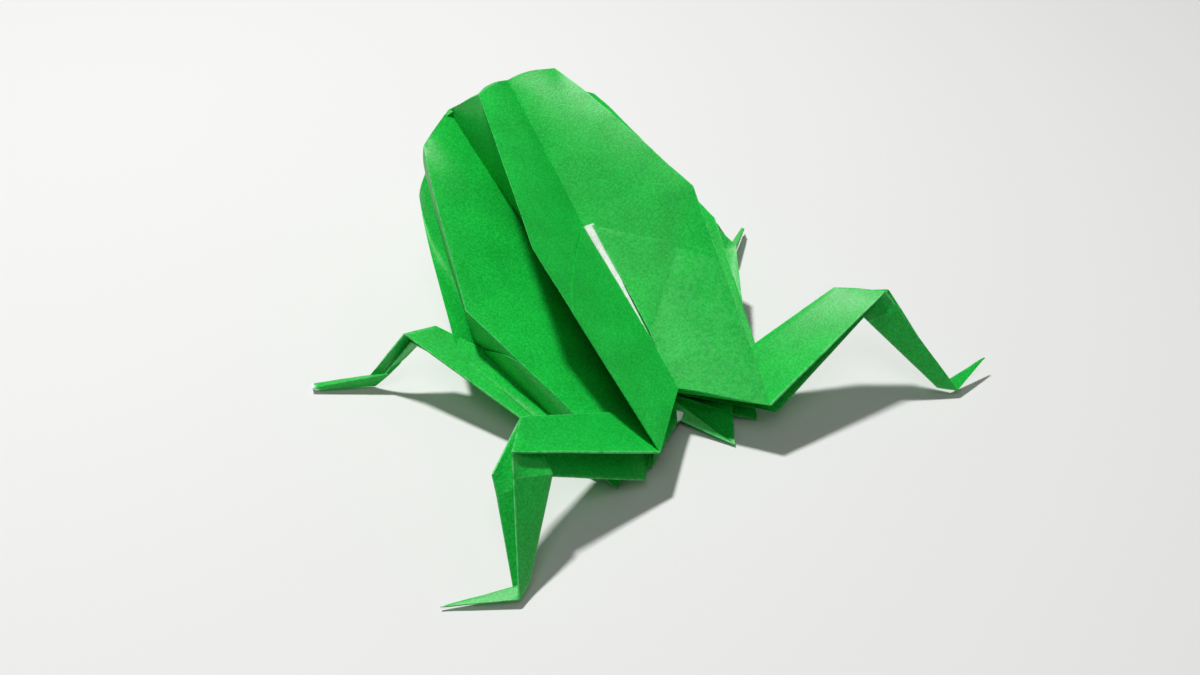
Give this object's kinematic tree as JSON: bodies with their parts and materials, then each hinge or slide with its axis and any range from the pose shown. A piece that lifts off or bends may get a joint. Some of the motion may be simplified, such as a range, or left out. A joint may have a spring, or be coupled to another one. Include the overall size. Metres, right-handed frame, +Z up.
{
  "type": "origami frog",
  "caption": "Hollow frog folded from one square paper sheet, with a blown-up pleated body and legs bent by reverse folds.",
  "frame": {"origin": "on the table under the frog, in the body's mirror plane, below the middle of its length", "axes": "-Y towards the nose, +Z up from the table, +X towards the frog's left"},
  "size_m": [0.0784, 0.0613, 0.0301],
  "materials": {
    "green_paper": "matte"
  },
  "bodies": {
    "root": {"folded_frog": "green_paper"}
  },
  "joints": []
}
